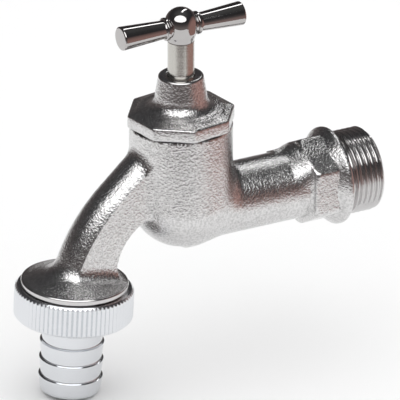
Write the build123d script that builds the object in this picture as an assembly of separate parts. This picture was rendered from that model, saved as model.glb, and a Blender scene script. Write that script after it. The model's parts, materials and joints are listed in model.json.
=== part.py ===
from build123d import *
import math
import os

# Garden tap with a T-handle, a threaded inlet and a hose union on its spout.
# Millimetres. +Z is up along the spindle, +Y points to the wall, the spout points to -Y.
# The origin is on the inlet's axis, at the middle of its threaded length.
# Parts are drawn with the spindle's axis as x = y = 0 and moved to the origin when written.

# Inlet: G 3/4 outside thread, wrench hexagon and flange
inlet_thread_radius = 26.441 / 2
inlet_thread_length = 9.0
inlet_chamfer = 1.0
inlet_relief_length = 2.2
inlet_relief_radius = 12.0
inlet_bore_radius = 7.5
pipe_radius = 10.96
hexagon_start = 41.0
hexagon_end = 49.3
hexagon_across_flats = 25.0
flange_radius = 15.4
flange_width = 2.0
flange_edge = 0.4
flange_cone_width = 4.9
spindle_to_flange = 53.0
size_pad_length = 6.6
size_pad_width = 7.0
size_pad_height = 0.45
size_pad_turn = 62.0
pipe_root_fillet = 2.5

# Barrel and bowl
barrel_radius = 16.07
barrel_top = 28.6
bowl_centre = 4.57
chamber_radius = 12.5
bonnet_thread_radius = 13.25
bonnet_thread_bottom = 19.5
inlet_bore_start = 6.0
bridge_bottom = 7.5
bridge_top = 10.0
seat_radius = 6.0
seat_lip_radius = 7.4
seat_top = 11.2

# Spout: flat sides, a crown arched over the shoulder lines, and a round waterway
spout_half_width = 7.0
crown_height = 3.6
shoulder_start = (-9.0, 23.5)
shoulder_knee = (-24.8, 9.36)
shoulder_radius = 54.7
shoulder_turn = 27.7
shoulder_drop = 4.5
underside_centre = (-8.1, -14.5)
underside_radius = 18.0
underside_sweep = 60.0
spout_root = (-6.0, 4.0)
waterway_radius = 4.8
waterway_points = ((-9.0, 15.5), (-17.5, 11.2), (-29.6, -0.8), (-36.2, -12.5), (-37.0, -19.5))
waterway_bend = 6.0
spout_root_fillet = 1.0

# Outlet: collar and G 1 outside thread on an axis tilted forwards
outlet_y = -37.2
outlet_z = -16.05
outlet_tilt = 2.96
collar_radius = 16.7
collar_height = 1.9
collar_cone_radius = 11.0
collar_cone_height = 1.9
collar_edge = 0.9
outlet_thread_radius = 33.249 / 2
outlet_length = 7.0
outlet_bore_radius = 11.5
outlet_bore_start = 4.2
outlet_throat_start = 1.2

# Hose union, measured down the outlet's axis from the collar's top edge
gasket_thickness = 1.5
gasket_bore_radius = 8.5
tail_flange_radius = 16.0
tail_flange_thickness = 1.7
tail_radius = 10.0
tail_valley_radius = 9.35
tail_bore_radius = 7.6
tail_end = 37.1
barb_first = 14.55
barb_pitch = 5.71
barb_count = 4
barb_rise = 0.25
barb_land = 0.3
tail_end_taper = (0.75, 0.9)
tail_end_rim = 1.6
nut_top = 2.15
nut_bottom = 12.2
nut_radius = 18.53
nut_chamfer_radius = 17.5
nut_chamfer_height = 0.8
nut_thread_radius = outlet_thread_radius + 0.06
nut_mouth_radius = 10.7

# Bonnet: octagon with a flared pillar, screwed into the barrel
bonnet_gasket_thickness = 0.65
bonnet_gasket_radius = 15.1
octagon_across_flats = 31.7
octagon_turn = 9.0
octagon_edge_z = 33.4
pillar_top = 45.4
pillar_top_radius = 7.1
pillar_foot_radius = 8.1
pillar_foot_z = 38.6
flare_radius = 4.4
octagon_edge_drop = 0.35
pillar_rim = 0.8
bonnet_skirt_radius = 13.2
bonnet_skirt_bottom = 20.5
bonnet_cavity_radius = 8.6
bonnet_cavity_top = 24.0
spindle_thread_top = 34.0

# Spindle: Tr 10 x 2 thread, smooth stem, square for the handle
stem_radius = 4.15
stem_clearance = 0.05
stem_countersink = 0.4
spindle_thread_radius = 5.0
spindle_foot_radius = 4.7
spindle_bottom = 16.25
spindle_thread_start = 18.0
spindle_thread_end = 27.8
stem_top = 56.85
drive_square = 5.6
drive_top = 62.1
o_ring_levels = {"spindle_o_ring_lower": 35.2, "spindle_o_ring_upper": 38.0}
o_ring_section_radius = 0.79
o_ring_groove_width = 2.0
o_ring_groove_radius = 2.6

# Jumper, its snap ring, washer and nut
jumper_radius = 7.1
washer_thickness = 2.5
jumper_thickness = 2.5
jumper_bevel = 0.6
jumper_stem_bevel = 0.4
jumper_stud_length = 1.6
jumper_stem_radius = 3.0
jumper_stem_top = 26.0
snap_ring_level = 24.6
snap_ring_thickness = 0.8
snap_ring_radius = 3.7
snap_ring_gap = 1.2
snap_groove_radius = 2.4
washer_rim = 0.3
washer_stud_radius = 2.0
washer_nut_across_flats = 7.0
washer_nut_height = 2.6

# T-handle: knob with two flared arms, turned from one bar
knob_radius = 5.1
knob_centre = 62.6
hub_radius = 4.1
arm_level = 61.6
arm_length = 21.07
arm_end_radius = 3.78
arm_neck_radius = 2.95
arm_collar_start = 4.9
arm_collar_end = 6.0
arm_collar_radius = 3.65
arm_end_chamfer = 0.4

outlet_plane = Plane(
    origin=(0, outlet_y, outlet_z),
    x_dir=(1, 0, 0),
    z_dir=(0, -math.sin(math.radians(outlet_tilt)), -math.cos(math.radians(outlet_tilt))),
)
flange_end = spindle_to_flange
thread_start = flange_end + inlet_relief_length
thread_end = thread_start + inlet_thread_length
inlet_end = thread_end + inlet_chamfer
origin_y = -(thread_start + inlet_thread_length / 2)


def turned(points):
    """A solid of revolution about Z from (radius, height) points."""
    profile = make_face(Polyline(*[(r, 0, z) for r, z in points], close=True))
    return revolve(profile, Axis.Z)


def along_y(points):
    """A solid of revolution about Y from (radius, y) points."""
    return Rot(X=-90) * turned(points)


def disc(radius, bottom, top):
    return turned([(0, bottom), (radius, bottom), (radius, top), (0, top)])


def ring(inner, outer, bottom, top):
    return turned([(inner, bottom), (outer, bottom), (outer, top), (inner, top)])


def prism(sides, across_flats, bottom, top, turn=0.0):
    """A regular prism about Z with its first flat turned from +X."""
    corner = across_flats / 2 / math.cos(math.pi / sides)
    outline = RegularPolygon(corner, sides, rotation=turn + 180 / sides)
    return extrude(Plane.XY.offset(bottom) * outline, top - bottom)


def on_outlet(shape):
    """Places a shape drawn about Z, with Z measured down the outlet's axis."""
    return outlet_plane.location * shape


def shoulder_line():
    """The spout's shoulder, drawn as (y, z): straight from the barrel, then a long arc."""
    run = Line(shoulder_start, shoulder_knee)
    bend = JernArc(shoulder_knee, run % 1, shoulder_radius, shoulder_turn)
    drop = Line(bend @ 1, bend @ 1 + (bend % 1) * shoulder_drop)
    return [run, bend, drop]


def spout_web():
    """The spout's flat-sided part, below the shoulder line."""
    shoulder = shoulder_line()
    start, foot = shoulder[0] @ 0, shoulder[-1] @ 1
    underside = CenterArc(underside_centre, underside_radius, 180, -underside_sweep)
    heel = (underside_centre[0] - underside_radius, foot.Y)
    base = Polyline(foot, heel, underside @ 0)
    outline = shoulder + [base, underside, Polyline(underside @ 1, spout_root, start)]
    return extrude(Plane.YZ * make_face(outline), spout_half_width, both=True)


def spout_crown():
    """The spout's arched top, swept along the shoulder line."""
    path = Wire([Plane.YZ * edge for edge in shoulder_line()])
    across = Plane(origin=path @ 0, x_dir=(1, 0, 0), z_dir=path % 0)
    up = math.copysign(1, across.y_dir.Z)
    arch = ThreePointArc((-spout_half_width, 0), (0, up * crown_height), (spout_half_width, 0))
    base = Polyline((spout_half_width, 0), (spout_half_width, -up), (-spout_half_width, -up),
                    (-spout_half_width, 0))
    return sweep(across * make_face([arch, base]), path=path)


def inlet_end_solids():
    hexagon = Rot(X=-90) * prism(6, hexagon_across_flats, hexagon_start, hexagon_end)
    cone_start = flange_end - flange_cone_width
    flange = along_y([
        (0, cone_start), (hexagon_across_flats / 2 + 0.3, cone_start),
        (flange_radius - 0.5, flange_end - flange_width), (flange_radius, flange_end - flange_width + 0.5),
        (flange_radius, flange_end - flange_edge), (flange_radius - flange_edge, flange_end),
        (0, flange_end),
    ])
    spigot = along_y([
        (0, flange_end), (inlet_relief_radius, flange_end), (inlet_relief_radius, thread_start),
        (inlet_thread_radius, thread_start), (inlet_thread_radius, thread_end),
        (inlet_thread_radius - inlet_chamfer, inlet_end), (0, inlet_end),
    ])
    return hexagon + flange + spigot


def size_pad():
    """Low blank pad on the pipe's far upper side, in front of the hexagon."""
    pad = Box(2 * (pipe_radius + size_pad_height), size_pad_length, size_pad_width)
    pad = Pos(0, hexagon_start - size_pad_length / 2, 0) * pad
    half = Pos(-pipe_radius, hexagon_start - size_pad_length / 2, 0)
    keep = half * Box(2 * pipe_radius, 2 * size_pad_length, 2 * pipe_radius)
    return Rot(Y=size_pad_turn) * (pad & keep)


def waterways():
    """Inlet bore, lower chamber, seat hole, upper chamber, spout waterway and outlet bore."""
    bore = along_y([
        (0, inlet_bore_start), (inlet_bore_radius, inlet_bore_start),
        (inlet_bore_radius, inlet_end + 1), (0, inlet_end + 1),
    ])
    bowl = Pos(0, 0, bowl_centre) * Sphere(chamber_radius)
    bowl = bowl & disc(chamber_radius + 1, -barrel_radius, bridge_bottom)
    seat = disc(seat_radius, bridge_bottom - 1, seat_top + 1)
    chamber = disc(chamber_radius, bridge_top, bonnet_thread_bottom + 1)
    chamber -= ring(seat_radius, seat_lip_radius, bridge_top - 1, seat_top)
    thread = disc(bonnet_thread_radius, bonnet_thread_bottom, barrel_top + 1)
    path = FilletPolyline(*[(0, y, z) for y, z in waterway_points], radius=waterway_bend)
    mouth = Plane(origin=path @ 0, z_dir=path % 0)
    water = sweep(mouth * Circle(waterway_radius), path=path)
    outlet = on_outlet(turned([
        (0, outlet_throat_start), (waterway_radius + 2, outlet_throat_start),
        (outlet_bore_radius, outlet_bore_start),
        (outlet_bore_radius, outlet_length + 1), (0, outlet_length + 1),
    ]))
    return bore + bowl + seat + chamber + thread + water + outlet


def collar():
    """The outlet's conical shoulder, turned rim and threaded boss."""
    rim = disc(collar_radius, 0, collar_height) + disc(outlet_thread_radius, 1, outlet_length)
    cone = turned([
        (0, 0.5), (collar_radius, 0.5), (collar_radius, 0), (collar_radius - collar_edge, -0.25),
        (collar_cone_radius, -collar_cone_height), (0, -collar_cone_height),
    ])
    return on_outlet(rim + cone)


def valve_body():
    barrel = disc(barrel_radius, bowl_centre, barrel_top) + Pos(0, 0, bowl_centre) * Sphere(barrel_radius)
    pipe = along_y([(0, 0), (pipe_radius, 0), (pipe_radius, hexagon_end), (0, hexagon_end)])
    barrel_and_pipe = barrel + pipe
    casting = fillet(new_edges(barrel, pipe, combined=barrel_and_pipe), pipe_root_fillet)
    spout = spout_web() + spout_crown()
    with_spout = casting + spout
    casting = fillet(new_edges(casting, spout, combined=with_spout), spout_root_fillet)
    return casting + collar() + inlet_end_solids() + size_pad() - waterways()


def bonnet():
    gasket_top = barrel_top + bonnet_gasket_thickness
    block = prism(8, octagon_across_flats, gasket_top, pillar_foot_z, octagon_turn)
    wide = octagon_across_flats / 2 / math.cos(math.pi / 8) + 1
    edge = octagon_edge_z - octagon_edge_drop
    rim = pillar_top - pillar_rim
    flare_end = (pillar_foot_radius + flare_radius * 0.96, 0, pillar_foot_z - flare_radius * 0.86)
    foot = (pillar_foot_radius, 0, pillar_foot_z)
    taper = (pillar_foot_radius - pillar_top_radius, 0, pillar_foot_z - pillar_top)
    cap_outline = [
        Polyline((0, 0, gasket_top - 1), (wide, 0, gasket_top - 1), (wide, 0, edge), flare_end),
        TangentArc(foot, flare_end, tangent=taper),
        Polyline(foot, (pillar_top_radius, 0, rim), (0, 0, rim), (0, 0, gasket_top - 1)),
    ]
    cap = revolve(make_face(cap_outline), Axis.Z)
    crown = turned([
        (0, rim - 0.2), (pillar_top_radius, rim), (pillar_top_radius - 0.12, rim + 0.4),
        (pillar_top_radius - 0.42, pillar_top - 0.12), (pillar_top_radius - 0.85, pillar_top),
        (0, pillar_top),
    ])
    pillar = cap & disc(pillar_foot_radius + 0.01, gasket_top, pillar_top)
    outside = (block & cap) + pillar + crown
    outside += disc(bonnet_skirt_radius, bonnet_skirt_bottom, gasket_top)
    thread_bore = spindle_thread_radius + stem_clearance
    stem_bore = stem_radius + stem_clearance
    inside = turned([
        (0, bonnet_skirt_bottom - 1), (bonnet_cavity_radius, bonnet_skirt_bottom - 1),
        (bonnet_cavity_radius, bonnet_cavity_top), (thread_bore, bonnet_cavity_top),
        (thread_bore, spindle_thread_top), (stem_bore, spindle_thread_top), (stem_bore, pillar_top - 0.3),
        (stem_bore + stem_countersink, pillar_top + 0.1), (0, pillar_top + 0.1),
    ])
    return outside - inside


def spindle():
    outside = turned([
        (0, spindle_bottom), (spindle_foot_radius, spindle_bottom),
        (spindle_foot_radius, spindle_thread_start),
        (spindle_thread_radius, spindle_thread_start), (spindle_thread_radius, spindle_thread_end),
        (stem_radius, spindle_thread_end), (stem_radius, stem_top), (0, stem_top),
    ])
    square = Plane.XY.offset(stem_top) * Rectangle(drive_square, drive_square)
    outside += extrude(square, drive_top - stem_top)
    bore = jumper_stem_radius + stem_clearance
    pocket = snap_ring_radius + stem_clearance
    pocket_bottom = snap_ring_level - stem_clearance
    pocket_top = snap_ring_level + snap_ring_thickness + stem_clearance
    socket = turned([
        (0, spindle_bottom - 1), (bore, spindle_bottom - 1), (bore, pocket_bottom), (pocket, pocket_bottom),
        (pocket, pocket_top), (bore, pocket_top), (bore, jumper_stem_top + 0.5), (0, jumper_stem_top + 0.5),
    ])
    half = o_ring_groove_width / 2
    grooves = [
        ring(o_ring_groove_radius, stem_radius + 1, level - half, level + half)
        for level in o_ring_levels.values()
    ]
    return outside - socket - grooves


def o_ring(level):
    centre = o_ring_groove_radius + o_ring_section_radius
    return Pos(0, 0, level) * Torus(centre, o_ring_section_radius)


def jumper():
    plate_bottom = seat_top + washer_thickness
    plate_top = plate_bottom + jumper_thickness
    stud_bottom = seat_top - jumper_stud_length
    snap_ring_top = snap_ring_level + snap_ring_thickness
    return turned([
        (0, stud_bottom), (washer_stud_radius, stud_bottom), (washer_stud_radius, plate_bottom),
        (jumper_radius, plate_bottom), (jumper_radius, plate_top - jumper_bevel),
        (jumper_radius - jumper_bevel, plate_top), (jumper_stem_radius, plate_top),
        (jumper_stem_radius, snap_ring_level), (snap_groove_radius, snap_ring_level),
        (snap_groove_radius, snap_ring_top), (jumper_stem_radius, snap_ring_top),
        (jumper_stem_radius, jumper_stem_top - jumper_stem_bevel),
        (jumper_stem_radius - jumper_stem_bevel, jumper_stem_top), (0, jumper_stem_top),
    ])


def jumper_snap_ring():
    """Split wire ring in the jumper stem's groove."""
    top = snap_ring_level + snap_ring_thickness
    gap = Box(snap_ring_gap, snap_ring_radius, snap_ring_radius)
    gap = Pos(0, -snap_ring_radius, snap_ring_level) * gap
    return ring(snap_groove_radius, snap_ring_radius, snap_ring_level, top) - gap


def tap_washer():
    return ring(washer_stud_radius, jumper_radius - washer_rim, seat_top, seat_top + washer_thickness)


def washer_nut():
    nut = prism(6, washer_nut_across_flats, seat_top - washer_nut_height, seat_top)
    return nut - disc(washer_stud_radius, seat_top - 5, seat_top + 1)


def t_handle():
    knob = Pos(0, 0, knob_centre) * Sphere(knob_radius)
    hub = turned([
        (0, stem_top), (hub_radius - 0.15, stem_top), (hub_radius, stem_top + 0.2),
        (hub_radius + 0.25, stem_top + 0.9), (hub_radius + 0.66, stem_top + 1.9),
        (knob_radius - 0.11, knob_centre - 1.9), (knob_radius, knob_centre - 0.6),
        (knob_radius, knob_centre),
        (0, knob_centre),
    ])
    arm = along_y([
        (0, 0), (arm_neck_radius, 0), (arm_neck_radius, arm_collar_start),
        (arm_collar_radius - 0.2, arm_collar_start), (arm_collar_radius, arm_collar_start + 0.25),
        (arm_collar_radius, arm_collar_end - 0.25), (arm_collar_radius - 0.25, arm_collar_end),
        (arm_neck_radius, arm_collar_end + 0.2), (arm_end_radius, arm_length - arm_end_chamfer),
        (arm_end_radius - arm_end_chamfer, arm_length), (0, arm_length),
    ])
    arms = [Pos(0, 0, arm_level) * Rot(Z=turn) * arm for turn in (0, 180)]
    square = Plane.XY.offset(stem_top - 1) * Rectangle(drive_square, drive_square)
    return knob + hub + arms - extrude(square, drive_top - stem_top + 1)


def union_nut():
    seat = outlet_length + gasket_thickness + tail_flange_thickness
    return on_outlet(turned([
        (nut_thread_radius, nut_top), (nut_chamfer_radius, nut_top),
        (nut_radius, nut_top + nut_chamfer_height),
        (nut_radius, nut_bottom - nut_chamfer_height), (nut_chamfer_radius, nut_bottom),
        (nut_mouth_radius, nut_bottom), (nut_mouth_radius, seat), (nut_thread_radius, seat),
    ]))


def hose_gasket():
    bottom = outlet_length + gasket_thickness
    return on_outlet(ring(gasket_bore_radius, tail_flange_radius, outlet_length, bottom))


def hose_tail():
    top = outlet_length + gasket_thickness
    shelf = top + tail_flange_thickness
    outline = [(tail_bore_radius, top), (tail_flange_radius, top), (tail_flange_radius, shelf)]
    outline += [(tail_valley_radius, shelf)]
    for step in range(barb_count):
        crest = barb_first + step * barb_pitch
        outline += [
            (tail_valley_radius, crest - barb_rise), (tail_radius, crest), (tail_radius, crest + barb_land),
        ]
    taper, taper_length = tail_end_taper
    outline += [
        (tail_radius - taper, tail_end - taper_length), (tail_radius - tail_end_rim, tail_end),
        (tail_bore_radius, tail_end),
    ]
    return on_outlet(turned(outline))


def bonnet_gasket():
    top = barrel_top + bonnet_gasket_thickness
    return ring(bonnet_skirt_radius, bonnet_gasket_radius, barrel_top, top)


parts = {
    "valve_body": valve_body(),
    "bonnet": bonnet(),
    "bonnet_gasket": bonnet_gasket(),
    "spindle": spindle(),
    "t_handle": t_handle(),
    "jumper": jumper(),
    "jumper_snap_ring": jumper_snap_ring(),
    "tap_washer": tap_washer(),
    "washer_nut": washer_nut(),
    "union_nut": union_nut(),
    "hose_gasket": hose_gasket(),
    "hose_tail": hose_tail(),
}
for name, level in o_ring_levels.items():
    parts[name] = o_ring(level)

os.makedirs("parts", exist_ok=True)
for name, shape in parts.items():
    export_step(Pos(0, origin_y, 0) * shape, f"parts/{name}.step")
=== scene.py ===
import json
import math

import bpy
import numpy as np
from bpy.props import FloatProperty, FloatVectorProperty, IntProperty, PointerProperty
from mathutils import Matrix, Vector


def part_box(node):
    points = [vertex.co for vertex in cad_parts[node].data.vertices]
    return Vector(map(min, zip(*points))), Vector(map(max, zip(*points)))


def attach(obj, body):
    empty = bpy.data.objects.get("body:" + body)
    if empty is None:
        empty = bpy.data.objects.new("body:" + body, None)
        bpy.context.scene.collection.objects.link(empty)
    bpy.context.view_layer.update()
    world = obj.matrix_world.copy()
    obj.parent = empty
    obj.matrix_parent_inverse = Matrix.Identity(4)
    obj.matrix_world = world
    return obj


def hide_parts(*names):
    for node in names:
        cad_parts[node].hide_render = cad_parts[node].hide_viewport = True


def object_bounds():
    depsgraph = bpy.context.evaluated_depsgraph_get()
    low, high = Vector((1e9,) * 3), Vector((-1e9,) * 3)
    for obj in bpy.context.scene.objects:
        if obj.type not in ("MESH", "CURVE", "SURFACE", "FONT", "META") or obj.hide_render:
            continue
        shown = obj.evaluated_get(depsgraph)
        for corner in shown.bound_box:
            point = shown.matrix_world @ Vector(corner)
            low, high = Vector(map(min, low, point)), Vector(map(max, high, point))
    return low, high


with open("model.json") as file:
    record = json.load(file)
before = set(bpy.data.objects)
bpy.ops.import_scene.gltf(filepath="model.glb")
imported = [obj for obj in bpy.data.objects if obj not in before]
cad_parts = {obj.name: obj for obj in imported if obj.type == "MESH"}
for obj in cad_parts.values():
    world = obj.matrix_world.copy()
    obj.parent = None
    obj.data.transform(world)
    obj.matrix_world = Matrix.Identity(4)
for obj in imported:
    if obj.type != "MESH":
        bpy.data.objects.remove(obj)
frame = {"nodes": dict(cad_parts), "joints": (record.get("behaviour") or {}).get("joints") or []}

bl_info = {
    "name": "Garden Tap",
    "version": (1, 0, 0),
    "blender": (4, 5, 0),
    "location": "3D View > Sidebar > Garden Tap",
    "description": "Builds a garden tap with a T-handle and a hose union around its packed frame",
    "category": "Add Mesh",
}

cad_low, cad_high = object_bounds()
MM = 0.001
TURN = 2 * math.pi


# ---------------------------------------------------------------- settings

def length(name, description, default):
    return FloatProperty(name=name, description=description, default=default, subtype="DISTANCE", unit="LENGTH")


def colour(name, description, default):
    return FloatVectorProperty(name=name, description=description, default=default, subtype="COLOR", size=3)


class CastingSettings(bpy.types.PropertyGroup):
    """Sizes of the cast body, from the crossing of the spindle's and the inlet's axes."""

    barrel_radius: length("Barrel radius", "Outside radius of the barrel and bowl", 16.07 * MM)
    barrel_top: length("Barrel top", "Height of the barrel's rim", 28.6 * MM)
    bowl_centre: length("Bowl centre", "Height of the bowl's centre", 4.57 * MM)
    pipe_radius: length("Pipe radius", "Outside radius of the inlet pipe", 10.96 * MM)
    pipe_end: length("Pipe end", "Distance from the spindle to the wrench hexagon", 41.0 * MM)
    spout_half_width: length("Spout half width", "Half the distance between the spout's flat sides", 7.0 * MM)
    crown_height: length("Crown height", "Rise of the spout's arched top above its shoulders", 3.6 * MM)
    shoulder_radius: length("Shoulder radius", "Radius of the shoulder line's bend", 54.7 * MM)
    underside_radius: length("Underside radius", "Radius of the spout's underside", 18.0 * MM)
    collar_radius: length("Collar radius", "Outside radius of the outlet's collar", 16.7 * MM)
    waterway_radius: length("Waterway radius", "Radius of the spout's waterway", 4.8 * MM)
    inlet_bore_radius: length("Inlet bore radius", "Radius of the inlet's bore", 7.5 * MM)
    pipe_blend: length("Pipe blend", "Size of the cast fillets at the pipe's root and the collar", 3.6 * MM)
    spout_blend: length("Spout blend", "Size of the cast fillet where the spout leaves the barrel", 1.9 * MM)
    across_flats: length("Across flats", "Width of the inlet's wrench hexagon", 25.0 * MM)
    hexagon_end: length("Hexagon end", "Distance from the spindle to the hexagon's wall side", 49.3 * MM)
    pad_height: length("Pad height", "Height of the blank pad on the pipe", 0.45 * MM)
    cell: length("Cell", "Spacing of the grid that the casting is drawn on", 0.49 * MM)
    waviness: length("Waviness", "Height of the casting's slow unevenness", 0.035 * MM)


class InletSettings(bpy.types.PropertyGroup):
    """Sizes of the inlet's flange and thread."""

    flange_radius: length("Flange radius", "Radius of the round flange", 15.4 * MM)
    flange_end: length("Flange end", "Distance from the spindle to the flange's wall side", 53.0 * MM)
    neck_radius: length("Neck radius", "Radius of the relief before the thread", 12.0 * MM)
    thread_pitch: length("Thread pitch", "Pitch of the inlet's thread", 1.814 * MM)
    thread_depth: length("Thread depth", "Depth of the inlet's thread", 1.05 * MM)


class BonnetSettings(bpy.types.PropertyGroup):
    """Sizes of the octagonal bonnet."""

    across_flats: length("Across flats", "Width of the octagon", 31.7 * MM)
    octagon_turn: FloatProperty(
        name="Octagon turn", description="Turn of the octagon about the spindle", default=math.radians(9),
        subtype="ANGLE", unit="ROTATION")
    edge_height: length("Edge height", "Height of the octagon's upper edge", 33.4 * MM)
    pillar_top_radius: length("Pillar top radius", "Radius of the pillar at its top", 7.1 * MM)
    pillar_foot_radius: length("Pillar foot radius", "Radius of the pillar above its flare", 8.1 * MM)
    pillar_foot: length("Pillar foot", "Height where the pillar's flare starts", 38.6 * MM)
    flare: length("Flare", "Radius of the pillar's flare", 4.4 * MM)


class HandleSettings(bpy.types.PropertyGroup):
    """Sizes of the T-handle."""

    knob_radius: length("Knob radius", "Radius of the round knob", 5.1 * MM)
    hub_radius: length("Hub radius", "Radius of the knob's lower end", 4.1 * MM)
    neck_radius: length("Neck radius", "Radius of each arm at the knob", 2.95 * MM)
    end_radius: length("End radius", "Radius of each arm at its end", 3.78 * MM)
    collar_radius: length("Collar radius", "Radius of the turned collar on each arm", 3.65 * MM)


class UnionSettings(bpy.types.PropertyGroup):
    """Sizes of the knurled nut and the hose tail, down the outlet's axis."""

    knurl_count: IntProperty(name="Knurl count", description="Ridges round the nut", default=74, min=12)
    knurl_depth: length("Knurl depth", "Depth of the grooves between the ridges", 0.58 * MM)
    nut_radius: length("Nut radius", "Outside radius over the ridges", 18.53 * MM)
    nut_chamfer: length("Nut chamfer", "Height of the nut's end chamfers", 0.8 * MM)
    barb_count: IntProperty(name="Barb count", description="Barbs along the tail", default=4, min=1)
    barb_pitch: length("Barb pitch", "Distance between the barbs", 5.71 * MM)
    barb_radius: length("Barb radius", "Radius over the barbs", 10.0 * MM)
    valley_radius: length("Valley radius", "Radius between the barbs", 9.35 * MM)


class FinishSettings(bpy.types.PropertyGroup):
    """Colours of the metals and of the packings."""

    cast_chrome: colour("Cast chrome", "Matt chrome on the castings", (0.74, 0.733, 0.732))
    machined_chrome: colour("Machined chrome", "Chrome on the turned faces", (0.66, 0.65, 0.65))
    polished_chrome: colour("Polished chrome", "Polished chrome on the handle", (0.50, 0.485, 0.48))
    bright_chrome: colour("Bright chrome", "Bright chrome on the nut and the tail", (0.77, 0.785, 0.81))
    satin_metal: colour("Satin metal", "Satin metal on the stem", (0.60, 0.585, 0.55))
    brass: colour("Brass", "Plain brass inside", (0.78, 0.58, 0.28))
    spring_steel: colour("Spring steel", "Steel of the snap ring", (0.45, 0.45, 0.46))
    rubber: colour("Rubber", "Black rubber of the seals", (0.025, 0.025, 0.027))
    fibre: colour("Fibre", "Fibre of the bonnet's gasket", (0.05, 0.045, 0.045))


class StageSettings(bpy.types.PropertyGroup):
    """Camera, floor and lights."""

    azimuth: FloatProperty(name="Azimuth", description="Camera's angle round the tap", default=math.radians(61.83),
                           subtype="ANGLE", unit="ROTATION")
    elevation: FloatProperty(name="Elevation", description="Camera's angle above the horizon",
                             default=math.radians(24.62), subtype="ANGLE", unit="ROTATION")
    view_width: length("View width", "Width of the view at the tap", 124.59 * MM)
    distance: length("Distance", "Distance from the tap to the camera", 4.0)
    centre_right: length("Centre right", "View's centre to the right of the origin", -46.76 * MM)
    centre_up: length("Centre up", "View's centre above the origin", -9.27 * MM)
    floor_colour: colour("Floor colour", "Pale floor", (0.93, 0.93, 0.93))
    wall_colour: colour("Wall colour", "Pale wall round the floor", (1.0, 1.0, 1.0))
    key_power: FloatProperty(name="Key power", description="Power of the softbox above the camera", default=2.6,
                             unit="POWER")
    strip_power: FloatProperty(name="Strip power", description="Power of the strip light above and behind",
                               default=0.35, unit="POWER")
    fill_power: FloatProperty(name="Fill power", description="Power of the overhead fill", default=1.8, unit="POWER")


SETTINGS = {
    "tap_casting": CastingSettings,
    "tap_inlet": InletSettings,
    "tap_bonnet": BonnetSettings,
    "tap_handle": HandleSettings,
    "tap_union": UnionSettings,
    "tap_finish": FinishSettings,
    "tap_stage": StageSettings,
}


# ---------------------------------------------------------------- places in the frame

def joint(name):
    return next(j for j in frame["joints"] if j["name"] == name)


def axis_place(origin, direction):
    """4x4 place whose third axis is the direction and whose first axis stays along X."""
    along = np.array(direction) / np.linalg.norm(direction)
    across = np.array([1.0, 0.0, 0.0])
    place = np.eye(4)
    place[:3, 0], place[:3, 1], place[:3, 2] = across, np.cross(along, across), along
    place[:3, 3] = origin
    return place


SPINDLE_Y = joint("spindle_turn")["pos_m"][1]
SPINDLE = axis_place((0, SPINDLE_Y, 0), (0, 0, 1))
INLET = axis_place((0, SPINDLE_Y, 0), (0, 1, 0))
OUTLET = axis_place(joint("nut_turn")["pos_m"], joint("nut_turn")["axis"])


def along_axis(place, node):
    """Lowest and highest distance of a CAD node's corners along a place's third axis."""
    mesh = frame["nodes"][node].data
    points = np.empty(len(mesh.vertices) * 3)
    mesh.vertices.foreach_get("co", points)
    distance = (points.reshape(-1, 3) - place[:3, 3]) @ place[:3, 2]
    return distance.min(), distance.max()


# ---------------------------------------------------------------- mesh code

def moved(points, place):
    """The points carried from a place's own axes to the frame's axes."""
    return points @ place[:3, :3].T + place[:3, 3]


def ring_faces(rows, columns, closed):
    """Quads of a grid whose columns go round, and whose rows go round too when closed."""
    index = np.arange(rows * columns).reshape(rows, columns)
    right = np.roll(index, -1, axis=1)
    quads = np.stack([index, right, np.roll(right, -1, axis=0), np.roll(index, -1, axis=0)], axis=-1)
    if not closed:
        quads = quads[:-1]
    return quads.reshape(-1, 4)


def cap_faces(count, first, pole, turned):
    """Triangles from a ring of vertices to its pole."""
    ring = first + np.arange(count)
    nearby = np.roll(ring, -1)
    order = (nearby, ring) if turned else (ring, nearby)
    return np.stack([order[0], order[1], np.full(count, pole)], axis=-1)


def make_object(name, points, faces, sharp=35.0):
    """A smooth object from vertices and lists of equal-sided faces, creased above an angle."""
    mesh = bpy.data.meshes.new(name)
    loops = np.concatenate([f.ravel() for f in faces]).astype(np.int32)
    sizes = np.concatenate([np.full(len(f), f.shape[1]) for f in faces]).astype(np.int32)
    starts = np.concatenate([[0], np.cumsum(sizes)[:-1]]).astype(np.int32)
    mesh.vertices.add(len(points))
    mesh.vertices.foreach_set("co", np.ascontiguousarray(points, dtype=np.float32).ravel())
    mesh.loops.add(len(loops))
    mesh.loops.foreach_set("vertex_index", loops)
    mesh.polygons.add(len(sizes))
    mesh.polygons.foreach_set("loop_start", starts)
    mesh.update(calc_edges=True)
    if mesh.validate():
        raise RuntimeError(f"{name} has faulty faces")
    mesh.shade_smooth()
    mesh.set_sharp_from_angle(angle=math.radians(sharp))
    return linked(name, mesh)


def linked(name, data):
    """A new object in the scene."""
    made = bpy.data.objects.new(name, data)
    bpy.context.scene.collection.objects.link(made)
    return made


def closed_ring(name, grid, place, sharp=35.0):
    """Rows and columns both closed: a solid with a hole along its axis."""
    rows, columns = grid.shape[:2]
    points = moved(grid.reshape(-1, 3), place)
    return make_object(name, points, [ring_faces(rows, columns, True)], sharp)


def capped(name, grid, place, sharp=35.0):
    """Rows from a lower pole to an upper pole: a solid without a hole."""
    rows, columns = grid.shape[:2]
    count = rows * columns
    poles = np.array([[0, 0, grid[0, 0, 2]], [0, 0, grid[-1, 0, 2]]])
    points = moved(np.concatenate([grid.reshape(-1, 3), poles]), place)
    sides = ring_faces(rows, columns, False)
    lower = cap_faces(columns, 0, count, True)
    upper = cap_faces(columns, count - columns, count + 1, False)
    return make_object(name, points, [sides, lower, upper], sharp)


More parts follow.
